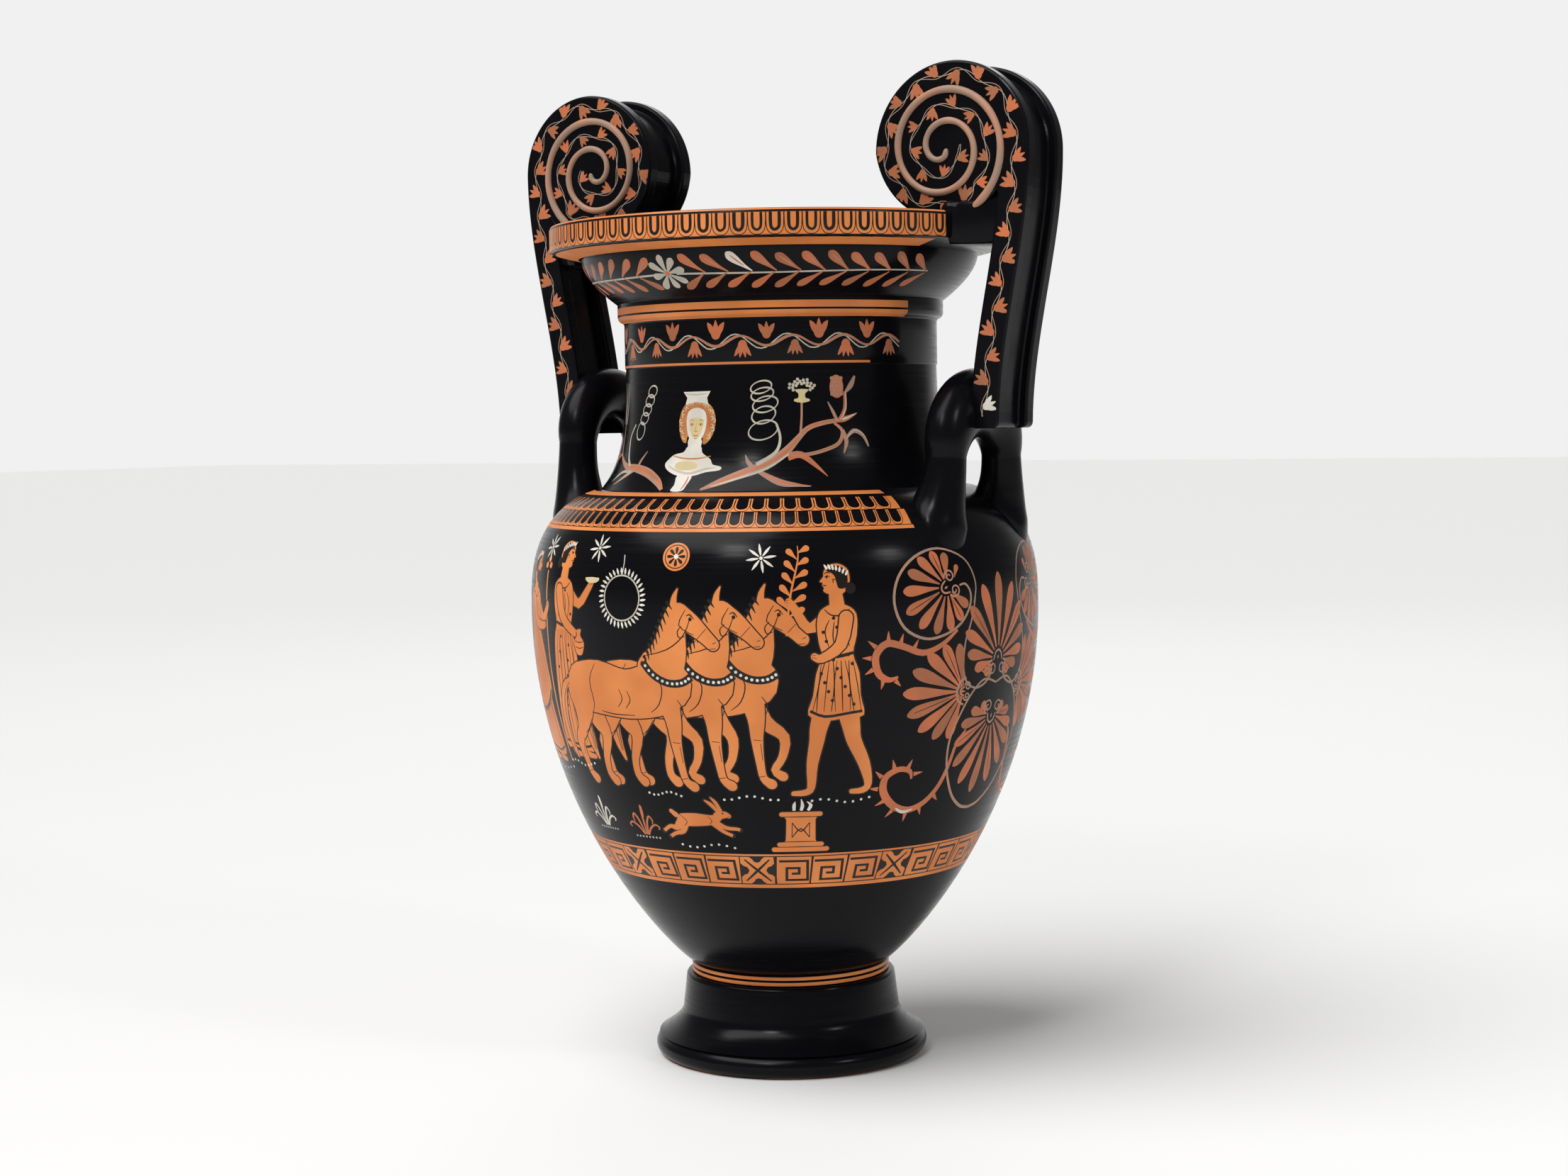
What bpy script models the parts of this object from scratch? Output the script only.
"""A volute krater: a wheel-thrown mixing bowl with two tall scroll handles, fired as one piece of clay.

Metres, +Z up. The origin is the middle of the foot's underside, and the handles stand on the X axis.
Every height of the vessel is stacked on the one below it, from the foot to the lip.
"""

import math
from dataclasses import dataclass

import bpy
from mathutils import Vector

# Turning and clay
SEGMENTS = 44
WALL = 0.0075
CUT_CLEARANCE = 0.0005

# Foot: a rounded rim, a hollow flare and a short stem, open underneath
FOOT_RADIUS = 0.0845
FOOT_RIM_HEIGHT = 0.0140
FOOT_RIM_ROUND = 0.0050
STANDING_WIDTH = 0.0110
FLARE_HEIGHT = 0.0160
STEM_RADIUS = 0.0672
STEM_HEIGHT = 0.0190
STEM_TAPER = 0.0022
STEM_ROUND = 0.0025
FOOT_WALL = 0.0100
FOOT_CEILING = 0.0070

# Double ring where the stem carries the bowl
WAIST_RADIUS = 0.0606
RING_HEIGHT = 0.0070
RING_PROUD = 0.0010

# Bowl, shoulder and neck
BELLY_RADIUS = 0.1566
BOWL_HEIGHT = 0.2215
BOWL_FLOOR = 0.0100
BOWL_FULLNESS = 1.15
SHOULDER_HEIGHT = 0.0725
SHOULDER_TURN = 2.8
SHOULDER_SLOPE = 1.6
NECK_ROOT_RADIUS = 0.1125
LOWER_NECK_RADIUS = 0.0952
LOWER_NECK_HEIGHT = 0.0730
NECK_FLARE_REACH = 0.0200
UPPER_NECK_RADIUS = 0.0962
UPPER_NECK_HEIGHT = 0.0270
NECK_STEP_RISE = 0.0008

# Mouth: a step moulding, a swelling echinus and an upright lip
STEP_RADIUS = 0.1002
STEP_HEIGHT = 0.0125
ECHINUS_RADIUS = 0.1218
ECHINUS_HEIGHT = 0.0275
ECHINUS_FULLNESS = 1.7
LIP_RADIUS = 0.1410
LIP_HEIGHT = 0.0203
LIP_ROUND = 0.0025
LIP_UNDERCUT = 0.0040
RIM_WIDTH = 0.0135

# Handle: two flanges joined by a sunk web, seen from the side as a strap that ends in a scroll
HANDLE_DEPTH = 0.0460
FLANGE_THICKNESS = 0.0095
WEB_SINK = 0.0055
STRAP_WIDTH = 0.0184
STRAP_CLEARANCE = 0.0340
HANDLE_RISE = 0.0872
SCROLL_BITE = 0.0030
NOTCH_ANGLE = math.radians(-40.0)
NOTCH_DROP = 0.0040
SCROLL_STEPS = 20
STRAP_STEPS = 6

# The hand-built handles differ a little: the left scroll is smaller, its arch thinner and higher
RIGHT_SCROLL_RADIUS = 0.0505
RIGHT_SCROLL_INSET = 0.0081
RIGHT_ARCH_STANCE = 0.0225
RIGHT_OVERHANG = 0.0270
RIGHT_CROWN = 0.0490
RIGHT_CROWN_RADIUS = 0.0205
LEFT_SCROLL_RADIUS = 0.0485
LEFT_SCROLL_INSET = 0.0127
LEFT_ARCH_STANCE = 0.0200
LEFT_OVERHANG = 0.0222
LEFT_CROWN = 0.0600
LEFT_CROWN_RADIUS = 0.0160

# Clay coil laid on each scroll face
COIL_MARGIN = 0.0105
COIL_RADIUS = 0.0023
COIL_TAPER = 0.25
COIL_TURNS = 2.12
COIL_CLOSING = 2.20
COIL_WINDING = 1.15
COIL_START = math.radians(-65.0)
COIL_SHIFT = 0.0050
COIL_STEPS = 25
COIL_SIDES = 5

# Arch of two legs that carries the strap above the shoulder
ARCH_RISE = 0.0310
ARCH_SPREAD = 0.0345
ARCH_LEAN = 0.0040
LEG_SPLAY = 0.0110
LEG_LEAN = 0.0070
LEG_RADIUS = 0.0124
CROWN_SWELL = 0.0022
CROWN_THINNING = 2.6
ROOT_RADIUS = 0.0185
ROOT_SINK = 0.0300
ARCH_STEPS = 6
LEG_STEPS = 4
LEG_SIDES = 12

# Clay worked in where the scroll lands on the lip
LUG_HALF_WIDTH = 0.0195
LUG_FILLET = 0.0110
LUG_ABOVE_RIM = 0.0050
LUG_BITE = 0.0060
PAD_RADIUS = 0.0062
PAD_SIDES = 8
PAD_STEPS = 5

# Heights above the ground, bottom to top
FLARE_TOP = FOOT_RIM_HEIGHT + FLARE_HEIGHT
STEM_TOP = FLARE_TOP + STEM_HEIGHT + STEM_ROUND
BOWL_BASE = STEM_TOP + RING_HEIGHT
BELLY_UP = BOWL_BASE + BOWL_HEIGHT
NECK_BASE = BELLY_UP + SHOULDER_HEIGHT
NECK_STEP = NECK_BASE + LOWER_NECK_HEIGHT
STEP_BASE = NECK_STEP + UPPER_NECK_HEIGHT
ECHINUS_BASE = STEP_BASE + STEP_HEIGHT
LIP_BASE = ECHINUS_BASE + ECHINUS_HEIGHT
LIP_TOP = LIP_BASE + LIP_HEIGHT
HANDLE_TOP = LIP_TOP + HANDLE_RISE
STRAP_FOOT_UP = NECK_BASE + STRAP_CLEARANCE

ALONG_X = Vector((1.0, 0.0, 0.0))
ALONG_Y = Vector((0.0, 1.0, 0.0))
GLOSS_BLACK = (0.012, 0.012, 0.016, 1.0)


@dataclass(frozen=True)
class Seat:
    """Where one handle stands: its heading round the vessel, its scroll and its arch."""

    label: str
    heading: float
    scroll_radius: float
    scroll_inset: float
    arch_stance: float
    overhang: float
    crown: float
    crown_radius: float

    @property
    def scroll_out(self):
        """Distance of the scroll's middle from the vessel's axis."""
        return LIP_RADIUS - self.scroll_inset

    @property
    def scroll_up(self):
        """Height of the scroll's middle."""
        return HANDLE_TOP - self.scroll_radius

    @property
    def strap_top_out(self):
        """Outer edge of the strap where the scroll begins."""
        return self.scroll_out + self.scroll_radius

    @property
    def arch_out(self):
        """Distance of the arch's crown from the vessel's axis."""
        return NECK_ROOT_RADIUS + self.arch_stance

    @property
    def crown_up(self):
        """Height of the middle of the arch's crown."""
        return NECK_BASE + self.crown


SEATS = (
    Seat(
        label="right",
        heading=0.0,
        scroll_radius=RIGHT_SCROLL_RADIUS,
        scroll_inset=RIGHT_SCROLL_INSET,
        arch_stance=RIGHT_ARCH_STANCE,
        overhang=RIGHT_OVERHANG,
        crown=RIGHT_CROWN,
        crown_radius=RIGHT_CROWN_RADIUS,
    ),
    Seat(
        label="left",
        heading=math.pi,
        scroll_radius=LEFT_SCROLL_RADIUS,
        scroll_inset=LEFT_SCROLL_INSET,
        arch_stance=LEFT_ARCH_STANCE,
        overhang=LEFT_OVERHANG,
        crown=LEFT_CROWN,
        crown_radius=LEFT_CROWN_RADIUS,
    ),
)


def mix(start, end, share):
    """The value at share of the way from start to end."""
    return start + (end - start) * share


def foot_outline():
    """Outer side of the foot from the waist down, then the standing ring and the hollow, to the axis."""
    stem_top_radius = STEM_RADIUS - STEM_TAPER
    points = [
        (WAIST_RADIUS, STEM_TOP),
        (stem_top_radius - STEM_ROUND * 0.3, STEM_TOP - STEM_ROUND * 0.4),
        (stem_top_radius, STEM_TOP - STEM_ROUND),
        (STEM_RADIUS, FLARE_TOP),
    ]
    flare_foot = FOOT_RADIUS - FOOT_RIM_ROUND * 0.4
    for share in (0.35, 0.65, 0.88, 1.0):
        points.append((mix(STEM_RADIUS, flare_foot, share ** 1.8), FLARE_TOP - FLARE_HEIGHT * share))
    standing_edge = FOOT_RADIUS - FOOT_RIM_ROUND
    points += [
        (FOOT_RADIUS, FOOT_RIM_HEIGHT * 0.75),
        (FOOT_RADIUS, FOOT_RIM_HEIGHT * 0.40),
        (FOOT_RADIUS - FOOT_RIM_ROUND * 0.35, FOOT_RIM_HEIGHT * 0.12),
        (standing_edge, 0.0),
        (standing_edge - STANDING_WIDTH, 0.0),
        (STEM_RADIUS - FOOT_WALL, FLARE_TOP),
        (WAIST_RADIUS - FOOT_WALL, STEM_TOP - FOOT_CEILING),
        (0.0, STEM_TOP - FOOT_CEILING),
    ]
    return points


def ring_outline():
    """Two beads with a groove between them, top to bottom."""
    bead = RING_HEIGHT / 2.0
    proud = WAIST_RADIUS + RING_PROUD
    points = []
    for top in (BOWL_BASE, BOWL_BASE - bead):
        points += [(proud, top - bead * 0.25), (proud, top - bead * 0.75), (WAIST_RADIUS, top - bead)]
    return points[:-1]


def bowl_outline(steps=8):
    """Belly down to the waist: a full curve that tightens towards the foot."""
    points = []
    for index in range(steps + 1):
        share = (1.0 - index / steps) ** 1.25
        swell = (1.0 - (1.0 - share) ** 2.0) ** (1.0 / BOWL_FULLNESS)
        points.append((mix(WAIST_RADIUS, BELLY_RADIUS, swell), BOWL_BASE + BOWL_HEIGHT * share))
    return points


def shoulder_outline(steps=7):
    """Neck root out and down to the belly: steep at the belly and nearly flat at the neck."""
    points = []
    for index in range(steps):
        share = 1.0 - (index / steps) ** 1.7
        drop = 1.0 - (1.0 - share ** SHOULDER_TURN) ** (1.0 / SHOULDER_SLOPE)
        points.append((mix(BELLY_RADIUS, NECK_ROOT_RADIUS, drop), BELLY_UP + SHOULDER_HEIGHT * share))
    return points


def shoulder_up(radius):
    """Height of the shoulder's outer surface at a radius."""
    drop = (BELLY_RADIUS - radius) / (BELLY_RADIUS - NECK_ROOT_RADIUS)
    drop = min(max(drop, 0.0), 1.0)
    share = (1.0 - (1.0 - drop) ** SHOULDER_SLOPE) ** (1.0 / SHOULDER_TURN)
    return BELLY_UP + SHOULDER_HEIGHT * share


def neck_outline(steps=5):
    """Upper neck, its small step, then the lower neck that flares out to the shoulder."""
    points = [(UPPER_NECK_RADIUS, STEP_BASE), (UPPER_NECK_RADIUS, NECK_STEP + NECK_STEP_RISE)]
    for index in range(steps):
        height = LOWER_NECK_HEIGHT * (1.0 - index / steps)
        flare = math.exp(-height / NECK_FLARE_REACH)
        points.append((mix(LOWER_NECK_RADIUS, NECK_ROOT_RADIUS, flare), NECK_BASE + height))
    return points


def mouth_outline(steps=4):
    """Rim, lip, undercut, echinus and step moulding, top to bottom."""
    undercut = LIP_BASE + LIP_UNDERCUT
    points = [
        (LIP_RADIUS - LIP_ROUND, LIP_TOP),
        (LIP_RADIUS - LIP_ROUND * 0.25, LIP_TOP - LIP_ROUND * 0.35),
        (LIP_RADIUS, LIP_TOP - LIP_ROUND),
        (LIP_RADIUS, undercut + LIP_ROUND),
        (LIP_RADIUS - LIP_ROUND, undercut),
    ]
    for index in range(steps + 1):
        share = 1.0 - index / steps
        swell = 1.0 - (1.0 - share) ** ECHINUS_FULLNESS
        points.append((mix(STEP_RADIUS, ECHINUS_RADIUS, swell), ECHINUS_BASE + ECHINUS_HEIGHT * share))
    points.append((STEP_RADIUS, STEP_BASE + STEP_HEIGHT * 0.35))
    points.append((mix(UPPER_NECK_RADIUS, STEP_RADIUS, 0.6), STEP_BASE + STEP_HEIGHT * 0.1))
    return points


def inside_outline():
    """The hollow, from above the mouth down its wall to the middle of the floor."""
    outside = [(ECHINUS_RADIUS, LIP_BASE), (STEP_RADIUS, ECHINUS_BASE)]
    outside += [(UPPER_NECK_RADIUS, STEP_BASE), (LOWER_NECK_RADIUS, NECK_STEP)]
    outside += neck_outline(4)[4:] + shoulder_outline(5) + bowl_outline(6)
    above = LIP_TOP + CUT_CLEARANCE
    mouth = LIP_RADIUS - RIM_WIDTH
    points = [(0.0, above), (mouth, above), (mouth, LIP_TOP - LIP_ROUND)]
    floor = BOWL_BASE + BOWL_FLOOR
    for index in range(len(outside) - 1):
        before = Vector(outside[max(index - 1, 0)])
        along = (Vector(outside[index + 1]) - before).normalized()
        inner = Vector(outside[index]) + Vector((along.y, -along.x)) * WALL
        if inner.y > floor + WALL * 0.5:
            points.append((inner.x, inner.y))
    points += [(WAIST_RADIUS - WALL * 1.8, floor), (0.0, floor)]
    return points


def solid(name, vertices, faces):
    """A mesh object from closed faces."""
    mesh = bpy.data.meshes.new(name)
    mesh.from_pydata([tuple(vertex) for vertex in vertices], [], faces)
    body = bpy.data.objects.new(name, mesh)
    bpy.context.collection.objects.link(body)
    return body


def turned(name, outline):
    """A closed body of revolution from an outline that runs down its outer side."""
    mesh = bpy.data.meshes.new(name)
    vertices = [(radius, 0.0, height) for radius, height in outline]
    mesh.from_pydata(vertices, [(index, index + 1) for index in range(len(vertices) - 1)], [])
    body = bpy.data.objects.new(name, mesh)
    bpy.context.collection.objects.link(body)
    screw = body.modifiers.new("turning", "SCREW")
    screw.steps = SEGMENTS
    screw.render_steps = SEGMENTS
    screw.use_merge_vertices = True
    screw.merge_threshold = 0.00001
    screw.use_smooth_shade = True
    return body


def prism(name, outline, near, far, place):
    """A closed outline given thickness from near to far; place turns (a, b, depth) into a point."""
    count = len(outline)
    vertices = [place(first, second, depth) for depth in (near, far) for first, second in outline]
    faces = [tuple(range(count)), tuple(range(2 * count - 1, count - 1, -1))]
    for index in range(count):
        after = (index + 1) % count
        faces.append((after, index, index + count, after + count))
    return solid(name, vertices, faces)


def tube(name, centres, radii, across, sides):
    """A closed tube; radii gives for each centre its size along across and square to it."""
    vertices = []
    count = len(centres)
    for index, centre in enumerate(centres):
        ahead = (centres[min(index + 1, count - 1)] - centres[max(index - 1, 0)]).normalized()
        first = (across - ahead * across.dot(ahead)).normalized()
        second = ahead.cross(first)
        for side in range(sides):
            angle = 2.0 * math.pi * side / sides
            offset = first * math.cos(angle) * radii[index][0] + second * math.sin(angle) * radii[index][1]
            vertices.append(centre + offset)
    faces = [tuple(range(sides - 1, -1, -1)), tuple(range((count - 1) * sides, count * sides))]
    for index in range(count - 1):
        low = index * sides
        for side in range(sides):
            after = (side + 1) % sides
            faces.append((low + side, low + after, low + sides + after, low + sides + side))
    return solid(name, vertices, faces)


def strap_outer(seat, share):
    """Outer edge of the strap: share 0 at its foot, 1 where the scroll begins."""
    ease = share * share * (3.0 - 2.0 * share)
    out = mix(seat.arch_out + seat.overhang, seat.strap_top_out, ease)
    return Vector((out, mix(STRAP_FOOT_UP, seat.scroll_up, share)))


def handle_side(seat, sink):
    """Side view of the strap and scroll as (out, up) points, drawn in by sink all round."""
    points = []
    for index in range(STRAP_STEPS):
        edge = strap_outer(seat, index / STRAP_STEPS)
        points.append((edge.x - sink, edge.y))
    landing_radius = seat.scroll_up - LIP_TOP + SCROLL_BITE
    sweep = 2.0 * math.pi + NOTCH_ANGLE
    for index in range(SCROLL_STEPS + 1):
        angle = sweep * index / SCROLL_STEPS
        landing = min(max((angle - math.pi) / (math.pi / 2.0), 0.0), 1.0)
        radius = mix(seat.scroll_radius, landing_radius, landing) - sink
        points.append((seat.scroll_out + radius * math.cos(angle), seat.scroll_up + radius * math.sin(angle)))
    notch_up = points[-1][1] - NOTCH_DROP
    for index in range(STRAP_STEPS, -1, -1):
        edge = strap_outer(seat, index / STRAP_STEPS)
        if edge.y < notch_up:
            points.append((edge.x - STRAP_WIDTH + sink, edge.y))
    return points


def coil(seat, name, face):
    """The raised spiral on one face, from its tail by the strap inwards."""
    centre = Vector((seat.scroll_out - COIL_SHIFT, face, seat.scroll_up))
    centres = []
    radii = []
    for index in range(COIL_STEPS + 1):
        share = index / COIL_STEPS
        turns = COIL_TURNS * share
        reach = (seat.scroll_radius - COIL_MARGIN) * (1.0 - (turns / COIL_CLOSING) ** COIL_WINDING)
        angle = COIL_START + 2.0 * math.pi * turns
        centres.append(centre + Vector((reach * math.cos(angle), 0.0, reach * math.sin(angle))))
        thickness = COIL_RADIUS * (1.0 - COIL_TAPER * share)
        radii.append((thickness, thickness))
    return tube(name, centres, radii, ALONG_Y, COIL_SIDES)


def arch(seat, name):
    """Both legs as one bent tube, from shoulder to shoulder over the crown."""
    centres = []
    radii = []
    leg_top = seat.crown_up - ARCH_RISE
    for index in range(ARCH_STEPS):
        share = index / ARCH_STEPS
        angle = math.pi / 2.0 * share
        up = leg_top + ARCH_RISE * math.cos(angle)
        centres.append(Vector((seat.arch_out - ARCH_LEAN * share, ARCH_SPREAD * math.sin(angle), up)))
        thin = share ** CROWN_THINNING
        radii.append((LEG_RADIUS + CROWN_SWELL * (1.0 - thin), mix(seat.crown_radius, LEG_RADIUS, thin)))
    root_out = seat.arch_out - ARCH_LEAN - LEG_LEAN
    root_across = ARCH_SPREAD + LEG_SPLAY
    root_up = shoulder_up(math.hypot(root_out, root_across)) - ROOT_SINK
    for index in range(LEG_STEPS + 1):
        share = index / LEG_STEPS
        out = seat.arch_out - ARCH_LEAN - LEG_LEAN * share * share
        centres.append(Vector((out, mix(ARCH_SPREAD, root_across, share), mix(leg_top, root_up, share))))
        radius = mix(LEG_RADIUS, ROOT_RADIUS, share ** 1.6)
        radii.append((radius, radius))
    mirrored = [Vector((centre.x, -centre.y, centre.z)) for centre in reversed(centres[1:])]
    return tube(name, mirrored + centres, list(reversed(radii[1:])) + radii, ALONG_X, LEG_SIDES)


def lug(seat, name):
    """Web of clay that fills the space between the lip and the strap, flaring on to the lip."""
    outer = seat.strap_top_out - STRAP_WIDTH * 0.6
    plan = [(LIP_RADIUS - LUG_BITE, LUG_HALF_WIDTH + LUG_FILLET)]
    for share in (0.35, 0.65, 1.0):
        plan.append((mix(LIP_RADIUS, outer, share), LUG_HALF_WIDTH + LUG_FILLET * (1.0 - share) ** 2))
    plan += [(out, -across) for out, across in reversed(plan)]
    low = LIP_BASE + LIP_UNDERCUT + LIP_ROUND
    return prism(name, plan, low, LIP_TOP + LUG_ABOVE_RIM, lambda out, across, up: (out, across, up))


def pad(seat, name, face):
    """Small lump of clay that seats the scroll's edge on the rim."""
    centres = []
    radii = []
    for index in range(PAD_STEPS + 1):
        angle = math.pi * mix(0.06, 0.94, index / PAD_STEPS)
        centres.append(Vector((seat.scroll_out, face, LIP_TOP - PAD_RADIUS * math.cos(angle))))
        size = PAD_RADIUS * math.sin(angle)
        radii.append((size, size * 0.7))
    return tube(name, centres, radii, ALONG_X, PAD_SIDES)


def handle(seat):
    """All the clay of one handle, turned about the vessel's axis to its side."""
    half = HANDLE_DEPTH / 2.0
    flange_in = half - FLANGE_THICKNESS
    web_edge = half - FLANGE_THICKNESS * 0.5

    def stand(out, up, across):
        return (out, across, up)

    def slab(suffix, sink, near, far):
        return prism(seat.label + suffix, handle_side(seat, sink), near, far, stand)

    pieces = [
        slab("_web", WEB_SINK, -web_edge, web_edge),
        slab("_flange_front", 0.0, -half, -flange_in),
        slab("_flange_back", 0.0, flange_in, half),
        coil(seat, seat.label + "_coil_front", -half),
        coil(seat, seat.label + "_coil_back", half),
        arch(seat, seat.label + "_arch"),
        lug(seat, seat.label + "_lug"),
        pad(seat, seat.label + "_pad_front", -half),
        pad(seat, seat.label + "_pad_back", half),
    ]
    for piece in pieces:
        piece.rotation_euler.z = seat.heading
    return pieces


def use_as_guide(piece):
    """Marks a piece as a construction shape that isn't part of the finished object."""
    piece.hide_render = True
    piece.display_type = "WIRE"


def combine(body, piece, operation):
    """Joins a piece to the body, or cuts it away."""
    change = body.modifiers.new(piece.name, "BOOLEAN")
    change.operation = operation
    change.solver = "EXACT"
    change.object = piece
    use_as_guide(piece)


def glaze(name, colour, roughness):
    """Satin black slip on fired clay."""
    material = bpy.data.materials.new(name)
    material.use_nodes = True
    shader = material.node_tree.nodes["Principled BSDF"]
    shader.inputs["Base Color"].default_value = colour
    shader.inputs["Roughness"].default_value = roughness
    shader.inputs["Metallic"].default_value = 0.0
    return material


def build():
    """The whole krater as one closed solid."""
    for old in list(bpy.data.objects):
        bpy.data.objects.remove(old, do_unlink=True)
    outline = [(0.0, LIP_TOP)] + mouth_outline() + neck_outline() + shoulder_outline()
    outline += bowl_outline() + ring_outline() + foot_outline()
    krater = turned("krater", outline)
    krater.data.materials.append(glaze("black_gloss", GLOSS_BLACK, 0.28))
    for seat in SEATS:
        for piece in handle(seat):
            combine(krater, piece, "UNION")
    combine(krater, turned("hollow", inside_outline()), "DIFFERENCE")


build()
